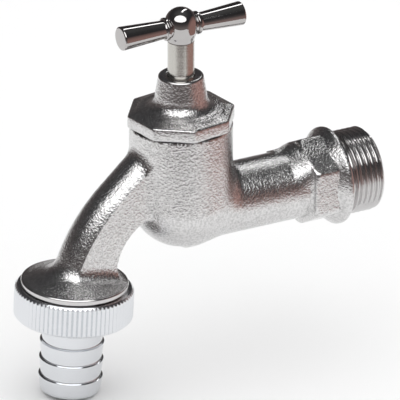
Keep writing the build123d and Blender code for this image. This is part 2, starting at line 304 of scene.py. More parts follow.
def softened(points, radius, steps=4, closed=True):
    """The outline with each corner rounded by a parabola that starts and ends one radius away.
    Each rounding has a support point on both sides, so that flat walls stay flat when smoothed."""
    outline = np.array(points, dtype=float)
    before, after = np.roll(outline, 1, axis=0), np.roll(outline, -1, axis=0)
    result = []
    for index, corner in enumerate(outline):
        if not closed and index in (0, len(outline) - 1):
            result.append(corner[None])
            continue
        back, ahead = before[index] - corner, after[index] - corner
        reach = min(radius, 0.3 * np.linalg.norm(back), 0.3 * np.linalg.norm(ahead))
        back, ahead = back / np.linalg.norm(back) * reach, ahead / np.linalg.norm(ahead) * reach
        t = np.linspace(0, 1, steps + 1)[:, None]
        arc = corner + back * (1 - t) ** 2 + ahead * t**2
        result.append(np.concatenate([[corner + back * 1.4], arc, [corner + ahead * 1.4]]))
    return np.concatenate(result)


def turned(profile, columns):
    """The profile's points (radius r, height h) carried round: (r cos a, r sin a, h)."""
    angle = np.linspace(0, TURN, columns, endpoint=False)
    radius, height = profile[:, :1], profile[:, 1:2]
    return np.stack([radius * np.cos(angle), radius * np.sin(angle), height + 0 * angle], axis=-1)


class Rings:
    """Rings of (height, radius) stacked into a surface; a radius is a number or one per column."""

    def __init__(self, columns):
        self.angle = np.linspace(0, TURN, columns, endpoint=False)
        self.rows = []

    def add(self, height, radius):
        self.rows.append((height + 0 * self.angle, radius + 0 * self.angle))

    def solid(self, name, place, sharp):
        height, radius = (np.stack(part) for part in zip(*self.rows))
        grid = np.stack([radius * np.cos(self.angle), radius * np.sin(self.angle), height], axis=-1)
        return closed_ring(name, grid, place, sharp)


def polygon_radius(angle, sides, across_flats, first_flat, sharpness):
    """Polar radius of a regular polygon with rounded corners: the flats' distance over the
    p-norm of the cosines between the direction and each flat's normal."""
    flats = first_flat + np.arange(sides) * TURN / sides
    cosines = np.maximum(np.cos(angle[..., None] - flats), 1e-6)
    return across_flats / 2 / (cosines**sharpness).sum(axis=-1) ** (1 / sharpness)


def value_noise(points, size, seed):
    """Smooth noise between -1 and 1: random values on a cubic lattice, blended by smoothsteps."""
    cells = points / size
    base = np.floor(cells).astype(np.int64)
    t = cells - base
    t = t * t * (3 - 2 * t)
    total = np.zeros(len(points))
    for corner in np.ndindex(2, 2, 2):
        node = base + corner
        mixed = (node[:, 0] * 73856093) ^ (node[:, 1] * 19349663) ^ (node[:, 2] * 83492791) ^ (seed * 2654435761)
        mixed = (mixed ^ (mixed >> 13)) * 1274126177 & 0xFFFFFFFF
        value = ((mixed ^ (mixed >> 16)) & 0xFFFF) / 32767.5 - 1
        weight = np.prod(np.where(np.array(corner) == 1, t, 1 - t), axis=1)
        total += value * weight
    return total


def surface_net(field, low, high, step):
    """The zero surface of a field on a regular grid: one vertex for each cell that the surface
    crosses, at the mean of its edge crossings, then moved onto the surface by Newton steps, and
    one quad for each crossed grid edge, joining the four cells round it."""
    axes = [np.arange(a, b + step, step) for a, b in zip(low, high)]
    shape = tuple(len(axis) for axis in axes)
    points = np.stack(np.meshgrid(*axes, indexing="ij"), axis=-1).reshape(-1, 3)
    value = field(points).reshape(shape)
    sums, counts = np.zeros(tuple(n - 1 for n in shape) + (3,)), np.zeros(tuple(n - 1 for n in shape))
    crossed = []
    for axis in range(3):
        near = np.take(value, range(shape[axis] - 1), axis)
        far = np.take(value, range(1, shape[axis]), axis)
        cut = (near < 0) != (far < 0)
        place = np.argwhere(cut)
        part = near[cut] / (near[cut] - far[cut])
        crossing = place.astype(float)
        crossing[:, axis] += part
        others = [a for a in range(3) if a != axis]
        for shift in np.ndindex(2, 2):
            cell = place.copy()
            cell[:, others] -= shift
            good = ((cell >= 0) & (cell < np.array(counts.shape))).all(axis=1)
            where = tuple(cell[good].T)
            np.add.at(sums, where, crossing[good])
            np.add.at(counts, where, 1)
        crossed.append((axis, place, near[cut] < 0))
    active = np.argwhere(counts > 0)
    number = np.full(counts.shape, -1)
    number[tuple(active.T)] = np.arange(len(active))
    vertices = sums[tuple(active.T)] / counts[tuple(active.T)][:, None] * step + np.array(low)
    quads = []
    for axis, place, leaves in crossed:
        first, second = [(axis + 1) % 3, (axis + 2) % 3]
        corners = []
        for a, b in ((0, 0), (1, 0), (1, 1), (0, 1)):
            cell = place.copy()
            cell[:, first] -= 1 - a
            cell[:, second] -= 1 - b
            corners.append(number[tuple(cell.T)])
        quad = np.stack(corners, axis=-1)
        quads.append(np.where(leaves[:, None], quad, quad[:, ::-1]))
    reach = step / 20
    for _ in range(4):
        slope = field_slope(field, vertices, reach)
        size = np.maximum((slope**2).sum(axis=1, keepdims=True), 0.05)
        move = field(vertices)[:, None] * slope / size
        vertices -= np.clip(move, -step / 2, step / 2)
    return vertices, np.concatenate(quads), np.array(low) + (active + 0.5) * step


def field_slope(field, points, reach):
    slope = [(field(points + d) - field(points - d)) / (2 * reach) for d in np.eye(3) * reach]
    return np.stack(slope, axis=-1)


def united(a, b, blend):
    """Smooth union: the smaller distance, lowered by a parabola where the two are within a blend."""
    share = np.maximum(blend - np.abs(a - b), 0) / blend
    return np.minimum(a, b) - share**2 * blend / 4


def joined(pieces, name):
    """The union of closed pieces as one object, with the first piece's mesh as its start."""
    first, *others = pieces
    for other in others:
        modifier = first.modifiers.new("union", "BOOLEAN")
        modifier.operation = "UNION"
        modifier.solver = "EXACT"
        modifier.object = other
    graph = bpy.context.evaluated_depsgraph_get()
    mesh = bpy.data.meshes.new_from_object(first.evaluated_get(graph))
    mesh.name = name
    for piece in pieces:
        bpy.data.objects.remove(piece)
    mesh.shade_smooth()
    mesh.set_sharp_from_angle(angle=math.radians(32))
    return linked(name, mesh)


# ---------------------------------------------------------------- shading

def new_group(name, inputs, outputs):
    """A shader node group with named sockets, and its input and output nodes."""
    tree = bpy.data.node_groups.new(name, "ShaderNodeTree")
    for socket, kind, default in inputs:
        made = tree.interface.new_socket(name=socket, in_out="INPUT", socket_type=kind)
        if default is not None:
            made.default_value = default
    for socket, kind in outputs:
        tree.interface.new_socket(name=socket, in_out="OUTPUT", socket_type=kind)
    return tree, tree.nodes.new("NodeGroupInput"), tree.nodes.new("NodeGroupOutput")


def add_noise(tree, vector, scale, detail=2.0, roughness=0.5):
    """A noise node; scale is a number or a socket."""
    noise = tree.nodes.new("ShaderNodeTexNoise")
    noise.inputs["Detail"].default_value = detail
    noise.inputs["Roughness"].default_value = roughness
    tree.links.new(vector, noise.inputs["Vector"])
    if isinstance(scale, (int, float)):
        noise.inputs["Scale"].default_value = scale
    else:
        tree.links.new(scale, noise.inputs["Scale"])
    return noise.outputs["Fac"]


def add_math(tree, operation, first, second):
    """A math node whose operands are numbers or sockets."""
    node = tree.nodes.new("ShaderNodeMath")
    node.operation = operation
    for socket, operand in zip(node.inputs, (first, second)):
        if isinstance(operand, (int, float)):
            socket.default_value = operand
        else:
            tree.links.new(operand, socket)
    return node.outputs[0]


def add_range(tree, value, low, high, new_low, new_high):
    """A map range node that stays inside the new range."""
    node = tree.nodes.new("ShaderNodeMapRange")
    for socket, number in zip(list(node.inputs)[1:5], (low, high, new_low, new_high)):
        socket.default_value = number
    tree.links.new(value, node.inputs[0])
    return node.outputs[0]


def cast_skin_group():
    """Fine pebbly skin of a sand casting: Height for a bump, a Grain mask that is low in the bump's
    hollows, where the base colour gets painted shade, and a slow Tone mask."""
    if "cast_skin" in bpy.data.node_groups:
        return bpy.data.node_groups["cast_skin"]
    tree, start, end = new_group(
        "cast_skin",
        [("Vector", "NodeSocketVector", None), ("Pebble", "NodeSocketFloat", 900.0)],
        [("Height", "NodeSocketFloat"), ("Grain", "NodeSocketFloat"), ("Tone", "NodeSocketFloat")],
    )
    vector, pebble = start.outputs["Vector"], start.outputs["Pebble"]
    coarse = add_noise(tree, vector, pebble, 2.0, 0.55)
    fine = add_noise(tree, vector, add_math(tree, "MULTIPLY", pebble, 2.6), 2.0, 0.6)
    height = add_math(tree, "ADD", add_math(tree, "MULTIPLY", coarse, 0.8), add_math(tree, "MULTIPLY", fine, 0.2))
    tree.links.new(height, end.inputs["Height"])
    # Painted shade: the mask is 0 in the bump's hollows, and there the base colour is darkened.
    tree.links.new(add_range(tree, height, 0.40, 0.56, 0.0, 1.0), end.inputs["Grain"])
    tone = add_noise(tree, vector, add_math(tree, "MULTIPLY", pebble, 0.12), 3.0, 0.6)
    tree.links.new(tone, end.inputs["Tone"])
    return tree


def smudge_group():
    """Slow handling marks: a Mask for roughness and colour."""
    if "smudge" in bpy.data.node_groups:
        return bpy.data.node_groups["smudge"]
    tree, start, end = new_group(
        "smudge",
        [("Vector", "NodeSocketVector", None), ("Scale", "NodeSocketFloat", 120.0)],
        [("Mask", "NodeSocketFloat")],
    )
    slow = add_noise(tree, start.outputs["Vector"], start.outputs["Scale"], 4.0, 0.62)
    tree.links.new(add_range(tree, slow, 0.35, 0.7, 0.0, 1.0), end.inputs["Mask"])
    return tree


def turning_lines_group():
    """Fine marks round an axis: noise squeezed along the axis by Squeeze, as a Height."""
    if "turning_lines" in bpy.data.node_groups:
        return bpy.data.node_groups["turning_lines"]
    tree, start, end = new_group(
        "turning_lines",
        [("Vector", "NodeSocketVector", None), ("Squeeze", "NodeSocketVector", (1.0, 1.0, 60.0)),
         ("Scale", "NodeSocketFloat", 60.0)],
        [("Height", "NodeSocketFloat")],
    )
    squeezed = tree.nodes.new("ShaderNodeVectorMath")
    squeezed.operation = "MULTIPLY"
    tree.links.new(start.outputs["Vector"], squeezed.inputs[0])
    tree.links.new(start.outputs["Squeeze"], squeezed.inputs[1])
    lines = add_noise(tree, squeezed.outputs[0], start.outputs["Scale"], 3.0, 0.6)
    tree.links.new(lines, end.inputs["Height"])
    return tree


class Surface:
    """A material with its principled shader, its Object coordinates and short ways to add nodes."""

    def __init__(self, name, metallic):
        self.material = bpy.data.materials.new(f"{name}_finish")
        self.material.use_nodes = True
        self.tree = self.material.node_tree
        self.shader = self.tree.nodes["Principled BSDF"]
        self.shader.inputs["Metallic"].default_value = metallic
        self.place = self.tree.nodes.new("ShaderNodeTexCoord").outputs["Object"]

    def group(self, tree, **values):
        node = self.tree.nodes.new("ShaderNodeGroup")
        node.node_tree = tree
        self.tree.links.new(self.place, node.inputs["Vector"])
        for socket, value in values.items():
            node.inputs[socket].default_value = value
        return node

    def tint(self, mask, first, second):
        """Base colour between two colours by a mask."""
        mix = self.tree.nodes.new("ShaderNodeMix")
        mix.data_type = "RGBA"
        self.tree.links.new(mask, mix.inputs["Factor"])
        mix.inputs["A"].default_value = (*first, 1)
        mix.inputs["B"].default_value = (*second, 1)
        self.tree.links.new(mix.outputs["Result"], self.shader.inputs["Base Color"])

    def roughness(self, mask, low, high):
        self.tree.links.new(add_range(self.tree, mask, 0.0, 1.0, low, high), self.shader.inputs["Roughness"])

    def bump(self, height, depth, strength):
        node = self.tree.nodes.new("ShaderNodeBump")
        node.inputs["Distance"].default_value = depth
        node.inputs["Strength"].default_value = strength
        self.tree.links.new(height, node.inputs["Height"])
        self.tree.links.new(node.outputs["Normal"], self.shader.inputs["Normal"])


def darker(base, share):
    return tuple(channel * share for channel in base)


def metal(name, base, shade, roughness, smudge_scale, relief, pit_shaded=False):
    """A metal with handling marks. Relief is a group with its settings, the output that makes the
    bump, and the bump's depth and strength. With its flag set, a metal takes painted shade in the bump's pits: its
    base colour is darker there than on the rest."""
    surface = Surface(name, 1.0)
    smudge = surface.group(smudge_group(), Scale=smudge_scale)
    group, values, output, depth, strength = relief
    texture = surface.group(group(), **values) if group else smudge
    # With the flag set, the base colour follows painted shade in the casting's pits; otherwise it follows the
    # handling marks.
    mask = texture.outputs["Grain"] if pit_shaded else smudge.outputs["Mask"]
    surface.tint(mask, darker(base, shade), base)
    surface.roughness(smudge.outputs["Mask"], *roughness)
    surface.bump(texture.outputs[output], depth, strength)
    return surface.material


def soft_packing(name, base, pebble):
    surface = Surface(name, 0.0)
    skin = surface.group(cast_skin_group(), Pebble=pebble)
    surface.tint(skin.outputs["Tone"], darker(base, 0.7), base)
    surface.roughness(skin.outputs["Tone"], 0.55, 0.8)
    surface.bump(skin.outputs["Height"], 0.03 * MM, 0.6)
    return surface.material


MAKERS = {
    # The cast chrome takes painted shade in its pits.
    "cast_chrome": lambda finish: metal("cast_chrome", finish.cast_chrome, 0.74, (0.18, 0.25), 90.0,
                                        (cast_skin_group, {"Pebble": 1400.0}, "Height", 0.21 * MM, 1.0), pit_shaded=True),
    "machined_chrome": lambda finish: metal("machined_chrome", finish.machined_chrome, 0.95, (0.14, 0.22), 110.0,
                                            (turning_lines_group, {"Squeeze": (1.0, 70.0, 1.0), "Scale": 50.0},
                                             "Height", 0.02 * MM, 0.5)),
    "polished_chrome": lambda finish: metal("polished_chrome", finish.polished_chrome, 0.97, (0.05, 0.10), 160.0,
                                            (cast_skin_group, {"Pebble": 260.0}, "Tone", 0.02 * MM, 0.3)),
    "bright_chrome": lambda finish: metal("bright_chrome", finish.bright_chrome, 0.97, (0.13, 0.20), 140.0,
                                          (cast_skin_group, {"Pebble": 500.0}, "Height", 0.01 * MM, 0.4)),
    "satin_metal": lambda finish: metal("satin_metal", finish.satin_metal, 0.93, (0.18, 0.24), 130.0,
                                        (turning_lines_group, {"Squeeze": (1.0, 1.0, 80.0), "Scale": 45.0},
                                         "Height", 0.03 * MM, 0.6)),
    "plain_brass": lambda finish: metal("plain_brass", finish.brass, 0.8, (0.22, 0.36), 150.0,
                                        (turning_lines_group, {"Squeeze": (1.0, 1.0, 60.0), "Scale": 50.0},
                                         "Height", 0.03 * MM, 0.6)),
    "spring_steel": lambda finish: metal("spring_steel", finish.spring_steel, 0.8, (0.25, 0.4), 400.0,
                                         (None, {}, "Mask", 0.01 * MM, 0.4)),
    "rubber": lambda finish: soft_packing("rubber", finish.rubber, 1500.0),
    "fibre": lambda finish: soft_packing("fibre", finish.fibre, 2500.0),
}


def finish_of(name):
    """The named material, made on first use."""
    made = bpy.data.materials.get(f"{name}_finish")
    return made or MAKERS[name](bpy.context.scene.tap_finish)


def dress(piece, material, body, node):
    """Gives a new piece its finish and body, and hides the CAD node that it stands for."""
    piece.data.materials.append(finish_of(material))
    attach(piece, body)
    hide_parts(node)
    return piece


def finish_beyond(piece, axis, level, name):
    """Gives the faces beyond a level along an axis a second finish."""
    piece.data.materials.append(finish_of(name))
    centres = np.empty(len(piece.data.polygons) * 3)
    piece.data.polygons.foreach_get("center", centres)
    piece.data.polygons.foreach_set("material_index", (centres[axis::3] > level).astype(np.int32))


# ---------------------------------------------------------------- the cast body

PAD_TURN = math.radians(28)
CHAMBER_RADIUS, BONNET_THREAD_RADIUS, SEAT_HOLE_RADIUS = 12.5 * MM, 13.25 * MM, 6 * MM
BRIDGE_BOTTOM, BRIDGE_TOP, BONNET_THREAD_BOTTOM = 7.5 * MM, 10 * MM, 19.5 * MM


def smooth_step(t):
    t = np.clip(t, 0, 1)
    return t * t * (3 - 2 * t)


class SpoutLine:
    """The spout's side view in (y, z): a straight shoulder, a tangent arc and a straight foot."""

    def __init__(self, settings):
        self.knee = np.array([-24.8, 9.36]) * MM
        run = self.knee - np.array([-9.0, 23.5]) * MM
        self.start = run / np.linalg.norm(run)
        self.turn = math.radians(27.7)
        self.radius = settings.shoulder_radius
        self.centre = self.knee + self.radius * np.array([-self.start[1], self.start[0]])
        cos, sin = math.cos(self.turn), math.sin(self.turn)
        self.end = np.array([cos * self.start[0] - sin * self.start[1], sin * self.start[0] + cos * self.start[1]])
        self.foot = self.centre + self.radius * np.array([self.end[1], -self.end[0]])

    def height(self, y, z):
        """Signed distance outside the shoulder line: from the straight before the knee, from the
        arc between, and from the straight after the foot of the arc."""
        before = ((y - self.knee[0]) * self.start[0] + (z - self.knee[1]) * self.start[1]) < 0
        after = ((y - self.foot[0]) * self.end[0] + (z - self.foot[1]) * self.end[1]) > 0
        straight = (y - self.knee[0]) * self.start[1] - (z - self.knee[1]) * self.start[0]
        steep = (y - self.foot[0]) * self.end[1] - (z - self.foot[1]) * self.end[0]
        bend = np.hypot(y - self.centre[0], z - self.centre[1]) - self.radius
        return np.where(before, straight, np.where(after, steep, bend))


def casting_field(settings):
    """Signed distance to the casting, from the crossing of the spindle's and the inlet's axes."""
    line = SpoutLine(settings)
    half, crown = settings.spout_half_width, settings.crown_height
    crown_radius = (half**2 + crown**2) / (2 * crown)
    underside_centre = np.array([-8.1, -14.5]) * MM
    water_path = np.array([[-9, 15.5], [-17.5, 11.2], [-29.6, -0.8], [-35.6, -11.5], [-37.2, -20]]) * MM
    outlet = OUTLET.copy()
    outlet[1, 3] -= SPINDLE_Y

    def spout(x, y, z):
        height = line.height(y, z)
        arch = np.hypot(x, np.maximum(height + crown_radius - crown, 0)) - crown_radius
        below = settings.underside_radius - np.hypot(y - underside_centre[0], z - underside_centre[1])
        root = y + 6 * MM
        foot = -17.5 * MM - z
        return np.maximum.reduce([arch, np.abs(x) - half, below, root, foot])

    def collar(p):
        local = (p - outlet[:3, 3]) @ outlet[:3, :3]
        radius, depth = np.hypot(local[:, 0], local[:, 1]), local[:, 2]
        slope = math.radians(17)
        cone = (radius - settings.collar_radius + 0.7 * MM) * math.sin(slope) - depth * math.cos(slope)
        return np.maximum.reduce([cone, radius - settings.collar_radius + 0.15 * MM, depth - 0.9 * MM]), radius, depth

    def waterway(p):
        distance = np.full(len(p), 1.0)
        for first, second in zip(water_path[:-1], water_path[1:]):
            along = second - first
            flat = p[:, 1:] - first
            part = np.clip(flat @ along / (along @ along), 0, 1)
            nearest = flat - part[:, None] * along
            distance = np.minimum(distance, np.sqrt(p[:, 0] ** 2 + (nearest**2).sum(axis=1)))
        return distance - settings.waterway_radius

    def pipe(x, y, z):
        """The pipe, which swells into the hexagon on its upper side, with the blank pad."""
        radius = np.hypot(x, z)
        rise = smooth_step((y - 34.5 * MM) / (6.5 * MM)) * smooth_step((z / np.maximum(radius, MM) - 0.1) / 0.6)
        tube = np.maximum(radius - settings.pipe_radius - rise * 1.4 * MM, -y)
        lift = z * math.cos(PAD_TURN) - x * math.sin(PAD_TURN)
        aside = x * math.cos(PAD_TURN) + z * math.sin(PAD_TURN)
        pad = np.maximum.reduce([
            lift - settings.pipe_radius - settings.pad_height, np.abs(aside) - 3.5 * MM,
            np.abs(y - settings.pipe_end + 3.3 * MM) - 3.3 * MM, -lift,
        ])
        return united(tube, pad, 0.6 * MM)

    def hexagon(x, y, z):
        flats = [np.abs(x * math.cos(turn) + z * math.sin(turn)) for turn in (0, TURN / 6, TURN / 3)]
        sides = -united(-flats[0], united(-flats[1], -flats[2], 0.7 * MM), 0.7 * MM) - settings.across_flats / 2
        start = settings.pipe_end - y
        bevel = (np.hypot(x, z) - 13.3 * MM + start) * 0.7071
        return -united(-sides, -np.maximum(start, bevel), 0.5 * MM)

    def field(p):
        x, y, z = p.T
        across = np.hypot(x, y)
        barrel = np.sqrt(across**2 + np.minimum(z - settings.bowl_centre, 0) ** 2) - settings.barrel_radius
        top, radius, depth = collar(p)
        shape = united(barrel, pipe(x, y, z), settings.pipe_blend)
        shape = united(shape, hexagon(x, y, z), 1.0 * MM)
        shape = united(shape, spout(x, y, z), settings.spout_blend)
        shape = united(shape, top, settings.pipe_blend)
        lip = np.where(across > 15.3 * MM, 0.35 * MM, 0)
        shape = np.maximum(shape, z - settings.barrel_top - lip)
        shape = np.maximum(shape, y - settings.hexagon_end)
        seat_hole = np.maximum(across - SEAT_HOLE_RADIUS, np.abs(z - 9 * MM) - 4 * MM)
        bowl = np.sqrt(across**2 + (z - settings.bowl_centre) ** 2) - CHAMBER_RADIUS
        lower = np.maximum(bowl, z - BRIDGE_BOTTOM)
        upper = np.maximum(across - CHAMBER_RADIUS, BRIDGE_TOP - z)
        mouth = np.maximum(across - BONNET_THREAD_RADIUS, BONNET_THREAD_BOTTOM - z)
        bore = np.maximum(np.hypot(x, z) - settings.inlet_bore_radius, 6 * MM - y)
        outlet_bore = np.maximum(radius - 8 * MM, -depth)
        hollow = np.minimum.reduce([seat_hole, lower, upper, mouth, bore, waterway(p), outlet_bore])
        return np.maximum(shape, -hollow)

    return field


def crisp_shoulder(settings, field, points, centres):
    """Moves the vertex of each cell that a shoulder line passes through onto that line."""
    line = SpoutLine(settings)
    x, y, z = centres.T
    gap, reach = line.height(y, z), 0.001 * MM
    slope_y = (line.height(y + reach, z) - line.height(y - reach, z)) / (2 * reach)
    slope_z = (line.height(y, z + reach) - line.height(y, z - reach)) / (2 * reach)
    nearest = np.stack([np.sign(x) * settings.spout_half_width, y - gap * slope_y, z - gap * slope_z], axis=-1)
    inside = np.abs(nearest - centres).max(axis=1) <= 0.51 * settings.cell
    inside &= np.abs(field(nearest)) < 0.02 * MM
    points[inside] = nearest[inside]


def build_casting(settings):
    """The casting as a surface net, made uneven by two sizes of smooth noise along its normals."""
    field = casting_field(settings)
    low = np.array([-17.6, -55.0, -18.7]) * MM
    high = np.array([17.6, 50.0, 29.6]) * MM
    points, quads, centres = surface_net(field, low, high, settings.cell)
    crisp_shoulder(settings, field, points, centres)
    slope = field_slope(field, points, settings.cell / 10)
    normal = slope / np.maximum(np.linalg.norm(slope, axis=1, keepdims=True), 1e-9)
    uneven = 0.6 * value_noise(points, 5 * MM, 3) + 0.4 * value_noise(points, 2.3 * MM, 8)
    points = points + normal * (uneven * settings.waviness)[:, None]
    points[:, 1] += SPINDLE_Y
    return make_object("casting", points, [quads], 27.0)


# ---------------------------------------------------------------- operators

class HOSEBIB_OT_casting(bpy.types.Operator):
    """Builds the cast body with its barrel, pipe, spout and waterways"""

    bl_idname = "hosebib.casting"
    bl_label = "Casting"

    def execute(self, context):
        piece = build_casting(context.scene.tap_casting)
        dress(piece, "cast_chrome", "tap_body", "valve_body")
        return {"FINISHED"}


class HOSEBIB_OT_inlet_end(bpy.types.Operator):
    """Builds the flange, the neck and the threaded end of the inlet"""

    bl_idname = "hosebib.inlet_end"
    bl_label = "Inlet End"

    def execute(self, context):
        inlet, casting = context.scene.tap_inlet, context.scene.tap_casting
        rings = Rings(240)
        row = rings.add
        start, thread_start = casting.hexagon_end, inlet.flange_end + 2.2 * MM
        end = along_axis(INLET, "valve_body")[1]
        crest = 13.22 * MM
        row(start - 0.4 * MM, casting.inlet_bore_radius + 0.4 * MM)
        for ahead, radius in ((-1.7, 9.0), (-1.7, 11.7), (-1.2, 12.2), (-0.4, 13.0), (0.4, 13.75), (1.2, 14.45)):
            row(start + ahead * MM, radius * MM)
        for ahead, inside in ((1.95, 0.45), (1.75, 0.25), (1.45, 0.1), (1.1, 0.02), (0.7, 0), (0.4, 0.03),
                              (0.2, 0.1), (0.06, 0.22), (0, 0.4), (0, 0.7)):
            row(inlet.flange_end - ahead * MM, inlet.flange_radius - inside * MM)
        for ahead, radius in ((0, 0.6), (0, 0.3), (0.1, 0.05), (0.35, 0), (1.6, 0), (1.95, 0.1), (2.1, 0.5)):
            row(inlet.flange_end + ahead * MM, inlet.neck_radius + radius * MM)
        row(thread_start + 0.15 * MM, crest - 0.3 * MM)
        for distance in np.arange(thread_start + 0.35 * MM, end - 0.02 * MM, inlet.thread_pitch / 16):
            phase = (distance - thread_start - 0.2 * MM) / inlet.thread_pitch - rings.angle / TURN
            cut = 0.5 - 0.5 * np.cos(TURN * phase)
            fade = smooth_step((distance - thread_start - 0.3 * MM) / (0.9 * MM))
            chamfer = crest - np.maximum(distance - (end - 1.0 * MM), 0)
            row(distance, np.minimum(crest - inlet.thread_depth * cut**0.8 * fade, chamfer))
        for ahead, radius in ((0, 12.1), (0, 11.8), (0, 8.6), (-0.1, 8.2), (-0.5, 7.8)):
            row(end + ahead * MM, radius * MM)
        row(end - 1.2 * MM, casting.inlet_bore_radius)
        row(start, casting.inlet_bore_radius)
        piece = rings.solid("inlet_end", INLET, 28.0)
        dress(piece, "cast_chrome", "tap_body", "valve_body")
        finish_beyond(piece, 1, SPINDLE_Y + inlet.flange_end - 0.4 * MM, "machined_chrome")
        return {"FINISHED"}


class HOSEBIB_OT_outlet_collar(bpy.types.Operator):
    """Builds the turned rim of the collar and the threaded boss under the nut"""

    bl_idname = "hosebib.outlet_collar"
    bl_label = "Outlet Collar"

    def execute(self, context):
        casting = context.scene.tap_casting
        bottom = along_axis(OUTLET, "hose_gasket")[0]
        rim, boss = casting.collar_radius, 16.62 * MM
        outline = [(8.0, bottom / MM), (boss / MM - 0.5, bottom / MM), (boss / MM, bottom / MM - 0.5),
                   (boss / MM, 2.3), (15.9, 2.1), (15.9, 1.95), (rim / MM - 0.1, 1.9), (rim / MM, 1.7),
                   (rim / MM, 0.45), (rim / MM - 0.25, 0.1), (rim / MM - 0.7, -0.05), (14.5, 0.3), (8.0, 0.6)]
        profile = softened(np.array(outline)[::-1] * MM, 0.12 * MM)
        piece = closed_ring("outlet_collar", turned(profile, 192), OUTLET, 32.0)
        dress(piece, "machined_chrome", "tap_body", "valve_body")
        return {"FINISHED"}


class HOSEBIB_OT_bonnet(bpy.types.Operator):
    """Builds the octagonal bonnet with its flared pillar"""

    bl_idname = "hosebib.bonnet"
    bl_label = "Bonnet"

    def execute(self, context):
        bonnet = context.scene.tap_bonnet
        rings = Rings(288)
        row = rings.add
        octagon = polygon_radius(rings.angle, 8, bonnet.across_flats, bonnet.octagon_turn, 90)
        box_low, box_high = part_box("bonnet")
        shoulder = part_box("bonnet_gasket")[1][2]
        skirt, top, edge = 13.2 * MM, box_high[2], bonnet.edge_height
        row(box_low[2], 8.6 * MM)
        row(box_low[2], skirt - 0.4 * MM)
        row(box_low[2] + 0.4 * MM, skirt)
        row(shoulder - 0.3 * MM, skirt)
        row(shoulder, skirt)
        for up, inside in ((0, 0.9), (0, 0.5), (0.08, 0.2), (0.25, 0.06), (0.5, 0.0)):
            row(shoulder + up * MM, octagon - inside * MM)
        for down, inside in ((1.1, 0), (0.7, 0.02), (0.4, 0.08), (0.2, 0.2), (0.05, 0.4), (-0.05, 0.7), (-0.15, 1.1)):
            row(edge - down * MM, octagon - inside * MM)
        flare_top = bonnet.pillar_foot_radius + bonnet.flare
        flare_low = bonnet.pillar_foot - bonnet.flare
        first = octagon - 1.1 * MM
        for part in np.linspace(0, 1, 12)[1:-1]:
            circle = flare_top + 0.2 * MM
            radius = first * (1 - part) + circle * part
            row(edge + 0.15 * MM + (flare_low + 0.22 * MM - edge - 0.15 * MM) * part**1.3, radius)
        for sweep in np.radians(np.linspace(8, 88, 14)):
            radius = flare_top - bonnet.flare * math.sin(sweep)
            row(bonnet.pillar_foot - bonnet.flare * math.cos(sweep) * 0.97, radius)
        rim = top - 0.85 * MM
        for part in np.linspace(0, 1, 8):
            radius = bonnet.pillar_foot_radius + (bonnet.pillar_top_radius - bonnet.pillar_foot_radius) * part
            row(bonnet.pillar_foot + (rim - bonnet.pillar_foot) * part, radius)
        for sweep in np.radians(np.linspace(12, 90, 9)):
            row(rim + 0.85 * MM * math.sin(sweep), bonnet.pillar_top_radius - 0.95 * MM * (1 - math.cos(sweep)))
        bore = 4.2 * MM
        for down, radius in ((0, 1.8), (0.0, 0.6), (0.08, 0.35), (0.3, 0.1), (0.6, 0), (10.5, 0)):
            row(top - down * MM, bore + radius * MM)
        for height, radius in ((34.0, 4.2), (34.0, 5.05), (24.0, 5.05), (24.0, 8.6)):
            row(height * MM, radius * MM)
        piece = rings.solid("bonnet_block", SPINDLE, 32.0)
        dress(piece, "cast_chrome", "tap_body", "bonnet")
        finish_beyond(piece, 2, rim + 0.3 * MM, "machined_chrome")
        return {"FINISHED"}


class HOSEBIB_OT_spindle(bpy.types.Operator):
    """Builds the spindle with its smooth stem and O-ring grooves"""

    bl_idname = "hosebib.spindle"
    bl_label = "Spindle"

    def execute(self, context):
        low, high = along_axis(SPINDLE, "spindle")
        stem, foot, thread, socket = 4.15, 4.7, 5.0, 3.05
        hub = along_axis(SPINDLE, "t_handle")[0] / MM
        outline = [(socket, low / MM), (foot, low / MM), (foot, 18.0), (thread, 18.4)]
        pitch = 2.0
        for step in range(4):
            ridge = 18.6 + step * pitch
            outline += [(thread, ridge), (thread, ridge + 0.7), (4.1, ridge + 1.0), (4.1, ridge + 1.7)]
        outline += [(thread, 26.8), (thread, 27.5), (stem, 27.8)]
        for node in ("spindle_o_ring_lower", "spindle_o_ring_upper"):
            level = sum(along_axis(SPINDLE, node)) / 2 / MM
            outline += [(stem, level - 1), (2.6, level - 1), (2.6, level + 1), (stem, level + 1)]
        outline += [(stem, hub - 0.02), (2.8, hub + 0.02), (2.8, high / MM)]
        profile = softened(np.array(outline) * MM, 0.1 * MM, 2, closed=False)
        depth = np.array([[socket, 26.5], [socket, low / MM]]) * MM
        shell = np.concatenate([depth, profile])
        piece = capped("stem", turned(shell, 96), SPINDLE, 32.0)
        dress(piece, "satin_metal", "spindle", "spindle")
        return {"FINISHED"}


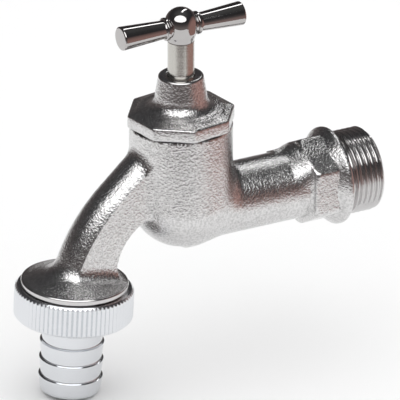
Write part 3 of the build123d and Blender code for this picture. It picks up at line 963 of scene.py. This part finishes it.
class HOSEBIB_OT_handle(bpy.types.Operator):
    """Builds the T-handle: a round knob on a short hub, joined to two flared arms"""

    bl_idname = "hosebib.handle"
    bl_label = "T-Handle"

    def execute(self, context):
        handle = context.scene.tap_handle
        low, high = along_axis(SPINDLE, "t_handle")
        centre = high - handle.knob_radius
        sweep = np.radians(np.linspace(-8, 88, 26))
        dome = np.stack([handle.knob_radius * np.cos(sweep), centre + handle.knob_radius * np.sin(sweep)], axis=-1)
        hub = np.array([(0.4, 0), (-0.12, 0), (0.0, 0.1), (0.06, 0.3), (0.2, 0.9), (0.46, 1.6), (0.74, 2.4),
                        (0.92, 3.4)])
        hub = hub * MM + np.array([handle.hub_radius, low])
        hub[0, 0] = 2.9 * MM
        knob = capped("knob", turned(np.concatenate([hub, dome]), 96), SPINDLE)
        box_low, box_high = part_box("t_handle")
        reach = (box_high[1] - box_low[1]) / 2 / MM
        level = centre - 1.0 * MM
        neck, collar, end = (r / MM for r in (handle.neck_radius, handle.collar_radius, handle.end_radius))
        outline = [(0.6, 1.0), (neck, 1.0), (neck, 4.75), (collar - 0.15, 4.95), (collar, 5.15), (collar, 5.75),
                   (collar - 0.15, 5.95), (neck + 0.1, 6.05), (neck, 6.5), (end, reach - 0.45),
                   (end - 0.12, reach - 0.16), (end - 0.42, reach), (0.6, reach)]
        profile = softened(np.array(outline) * MM, 0.16 * MM, 3, closed=False)
        pieces = [knob]
        for direction in (1, -1):
            place = axis_place((0, SPINDLE_Y, level), (0, direction, 0))
            pieces.append(capped("arm", turned(profile, 72), place))
        piece = joined(pieces, "handle")
        dress(piece, "polished_chrome", "spindle", "t_handle")
        return {"FINISHED"}


class HOSEBIB_OT_union_nut(bpy.types.Operator):
    """Builds the union nut with its fine straight knurl"""

    bl_idname = "hosebib.union_nut"
    bl_label = "Union Nut"

    def execute(self, context):
        union = context.scene.tap_union
        top, bottom = along_axis(OUTLET, "union_nut")
        seat = along_axis(OUTLET, "hose_tail")[0] + 1.7 * MM
        rings = Rings(union.knurl_count * 10)
        groove = 1 - np.abs(np.sin(rings.angle * union.knurl_count / 2))
        knurled = union.nut_radius - union.knurl_depth * groove
        thread, mouth = 16.685 * MM, 10.7 * MM
        chamfer, inset = union.nut_chamfer, 0.75 * MM
        start = union.nut_radius - inset
        rings.add(top + 0.15 * MM, thread)
        rings.add(top, thread + 0.15 * MM)
        depths = np.linspace(0, 1.35 * chamfer, 13)
        cones = [np.minimum(knurled, start + depth / chamfer * inset) for depth in depths]
        for depth, cone in zip(depths, cones):
            rings.add(top + depth, cone)
        for depth, cone in zip(depths[::-1], cones[::-1]):
            rings.add(bottom - depth, cone)
        for height, radius in ((bottom, mouth + 0.9 * MM), (bottom - 0.1 * MM, mouth + 0.2 * MM),
                               (bottom - 0.3 * MM, mouth), (seat, mouth), (seat, thread)):
            rings.add(height, radius)
        piece = rings.solid("knurled_nut", OUTLET, 40.0)
        dress(piece, "bright_chrome", "union_nut", "union_nut")
        return {"FINISHED"}


class HOSEBIB_OT_hose_tail(bpy.types.Operator):
    """Builds the hose tail with its row of sharp barbs"""

    bl_idname = "hosebib.hose_tail"
    bl_label = "Hose Tail"

    def execute(self, context):
        union = context.scene.tap_union
        top, bottom = (value / MM for value in along_axis(OUTLET, "hose_tail"))
        crest, valley = union.barb_radius / MM, union.valley_radius / MM
        bore, shelf = 7.6, top + 1.7
        outline = [(bore, top), (16.0, top), (16.0, shelf), (valley, shelf)]
        for step in range(union.barb_count):
            barb = 14.55 + step * union.barb_pitch / MM
            outline += [(valley, barb - 0.22), (crest - 0.02, barb - 0.02), (crest, barb + 0.12)]
        outline += [(crest - 0.55, bottom - 1.3), (crest - 1.0, bottom - 0.35), (crest - 1.6, bottom),
                    (bore + 0.2, bottom), (bore, bottom - 0.25)]
        profile = softened(np.array(outline)[::-1] * MM, 0.07 * MM, 2)
        piece = closed_ring("barbed_tail", turned(profile[::-1], 160), OUTLET, 32.0)
        dress(piece, "bright_chrome", "hose_tail", "hose_tail")
        return {"FINISHED"}


class HOSEBIB_OT_inner_parts(bpy.types.Operator):
    """Finishes the packings and the valve parts that keep their CAD shape"""

    bl_idname = "hosebib.inner_parts"
    bl_label = "Inner Parts"

    finishes = {
        "bonnet_gasket": "fibre",
        "jumper": "plain_brass",
        "jumper_snap_ring": "spring_steel",
        "tap_washer": "rubber",
        "washer_nut": "plain_brass",
        "hose_gasket": "rubber",
        "spindle_o_ring_lower": "rubber",
        "spindle_o_ring_upper": "rubber",
    }

    def execute(self, context):
        for node, finish in self.finishes.items():
            piece = frame["nodes"][node]
            piece.data.materials.clear()
            piece.data.materials.append(finish_of(finish))
        return {"FINISHED"}


class HOSEBIB_OT_stage(bpy.types.Operator):
    """Makes the pale floor, the soft lights and the camera"""

    bl_idname = "hosebib.stage"
    bl_label = "Stage"

    def execute(self, context):
        stage = context.scene.tap_stage
        right, up, back = view_axes(stage.azimuth, stage.elevation)
        centre = right * stage.centre_right + up * stage.centre_up
        add_camera(stage, centre, back)
        add_floor(stage)
        add_world(stage)
        target = Vector((0, SPINDLE_Y, 0))
        add_light("key_softbox", target, -34, 55, 0.6, (0.95, 0.50), "ELLIPSE", stage.key_power, True)
        add_light("back_strip", target, 132, 54, 0.6, (0.06, 0.5), "RECTANGLE", stage.strip_power, True)
        add_light("overhead_fill", target, 60, 86, 0.8, (1.0, 1.0), "RECTANGLE", stage.fill_power, False)
        return {"FINISHED"}


def view_axes(azimuth, elevation):
    right = Vector((math.cos(azimuth), math.sin(azimuth), 0))
    back = Vector((math.sin(azimuth) * math.cos(elevation), -math.cos(azimuth) * math.cos(elevation),
                   math.sin(elevation)))
    return right, back.cross(right), back


def add_camera(stage, centre, back):
    data = bpy.data.cameras.new("camera")
    data.lens = data.sensor_width * stage.distance / stage.view_width
    data.clip_start, data.clip_end = 0.1, 20
    camera = linked("camera", data)
    camera.location = centre + back * stage.distance
    camera.rotation_euler = (-back).to_track_quat("-Z", "Y").to_euler()
    bpy.context.scene.camera = camera


def add_floor(stage):
    """A level sheet just below the tap, square to the camera."""
    level = cad_low.z - 0.4 * MM
    right, _, back = view_axes(stage.azimuth, stage.elevation)
    away = -Vector((back.x, back.y, 0)).normalized()
    corners = [right * across + away * along for across, along in SHEET_CORNERS]
    mesh = bpy.data.meshes.new("floor")
    mesh.from_pydata([(corner.x, corner.y, level) for corner in corners], [], [(0, 1, 2, 3)])
    floor = linked("floor", mesh)
    surface = Surface("floor", 0.0)
    smudge = surface.group(smudge_group(), Scale=3.0)
    surface.tint(smudge.outputs["Mask"], darker(stage.floor_colour, 0.99), stage.floor_colour)
    surface.roughness(smudge.outputs["Mask"], 0.85, 0.9)
    mesh.materials.append(surface.material)


SHEET_CORNERS = ((-0.40, -0.24), (0.115, -0.24), (0.115, 0.36), (-0.40, 0.36))

ROOM = (
    (-1.0, (0.30, 0.27, 0.26)),
    (-0.30, (0.22, 0.19, 0.185)),
    (-0.02, (0.13, 0.11, 0.107)),
    (0.15, (0.08, 0.07, 0.069)),
    (0.42, (0.035, 0.033, 0.035)),
    (0.70, (0.045, 0.045, 0.047)),
    (1.0, (0.10, 0.10, 0.10)),
)


def add_world(stage):
    """A pale wall round the floor, and in mirrors a dark room that is warmer low down on the right."""
    world = bpy.data.worlds.new("studio")
    world.use_nodes = True
    tree = world.node_tree
    direction = tree.nodes.new("ShaderNodeTexCoord").outputs["Generated"]
    split = tree.nodes.new("ShaderNodeSeparateXYZ")
    tree.links.new(direction, split.inputs[0])
    ramp = tree.nodes.new("ShaderNodeValToRGB")
    tree.links.new(add_range(tree, split.outputs["Z"], -1.0, 1.0, 0.0, 1.0), ramp.inputs[0])
    stops = ramp.color_ramp.elements
    while len(stops) < len(ROOM):
        stops.new(0.5)
    for stop, (height, shade) in zip(stops, ROOM):
        stop.position = (height + 1) / 2
        stop.color = (*shade, 1)
    facing = tree.nodes.new("ShaderNodeVectorMath")
    facing.operation = "DOT_PRODUCT"
    tree.links.new(direction, facing.inputs[0])
    facing.inputs[1].default_value = (0.42, 0.85, -0.32)
    warm = tree.nodes.new("ShaderNodeMix")
    warm.data_type = "RGBA"
    tree.links.new(add_range(tree, facing.outputs["Value"], 0.66, 0.92, 0.0, 1.0), warm.inputs["Factor"])
    tree.links.new(ramp.outputs["Color"], warm.inputs["A"])
    warm.inputs["B"].default_value = (0.42, 0.245, 0.215, 1)
    room = tree.nodes["Background"]
    tree.links.new(warm.outputs["Result"], room.inputs["Color"])
    wall = tree.nodes.new("ShaderNodeBackground")
    wall.inputs["Color"].default_value = (*stage.wall_colour, 1)
    path = tree.nodes.new("ShaderNodeLightPath")
    tree.links.new(add_range(tree, path.outputs["Is Camera Ray"], 0.0, 1.0, 0.95, 1.0), wall.inputs["Strength"])
    mix = tree.nodes.new("ShaderNodeMixShader")
    tree.links.new(path.outputs["Is Glossy Ray"], mix.inputs[0])
    tree.links.new(wall.outputs[0], mix.inputs[1])
    tree.links.new(room.outputs[0], mix.inputs[2])
    tree.links.new(mix.outputs[0], tree.nodes["World Output"].inputs["Surface"])
    bpy.context.scene.world = world
    bpy.context.scene.view_settings.view_transform = "Standard"


def add_light(name, target, azimuth, elevation, distance, size, shape, power, mirrored):
    """An area light that looks at the target, and lights either mirrors only or all but mirrors."""
    _, _, back = view_axes(math.radians(azimuth + 90), math.radians(elevation))
    data = bpy.data.lights.new(name, "AREA")
    data.shape = shape
    data.size, data.size_y = size
    data.energy = power
    lamp = linked(name, data)
    lamp.location = target + back * distance
    lamp.rotation_euler = (-back).to_track_quat("-Z", "Y").to_euler()
    lamp.visible_camera = False
    lamp.visible_glossy = mirrored
    lamp.visible_diffuse = not mirrored


class HOSEBIB_PT_sidebar(bpy.types.Panel):
    """Lists the tap's build steps"""

    bl_label = "Garden Tap"
    bl_idname = "HOSEBIB_PT_sidebar"
    bl_space_type = "VIEW_3D"
    bl_region_type = "UI"
    bl_category = "Garden Tap"

    def draw(self, context):
        for operator in OPERATORS:
            self.layout.operator(operator.bl_idname)


OPERATORS = (
    HOSEBIB_OT_stage,
    HOSEBIB_OT_casting,
    HOSEBIB_OT_inlet_end,
    HOSEBIB_OT_outlet_collar,
    HOSEBIB_OT_bonnet,
    HOSEBIB_OT_spindle,
    HOSEBIB_OT_handle,
    HOSEBIB_OT_union_nut,
    HOSEBIB_OT_hose_tail,
    HOSEBIB_OT_inner_parts,
)
CLASSES = (*SETTINGS.values(), *OPERATORS, HOSEBIB_PT_sidebar)


def register():
    for cls in CLASSES:
        bpy.utils.register_class(cls)
    for name, settings in SETTINGS.items():
        setattr(bpy.types.Scene, name, PointerProperty(type=settings))


def unregister():
    for name in SETTINGS:
        delattr(bpy.types.Scene, name)
    for cls in reversed(CLASSES):
        bpy.utils.unregister_class(cls)


def main():
    register()
    for operator in OPERATORS:
        group, name = operator.bl_idname.split(".")
        getattr(getattr(bpy.ops, group), name)()


if __name__ == "__main__":
    main()
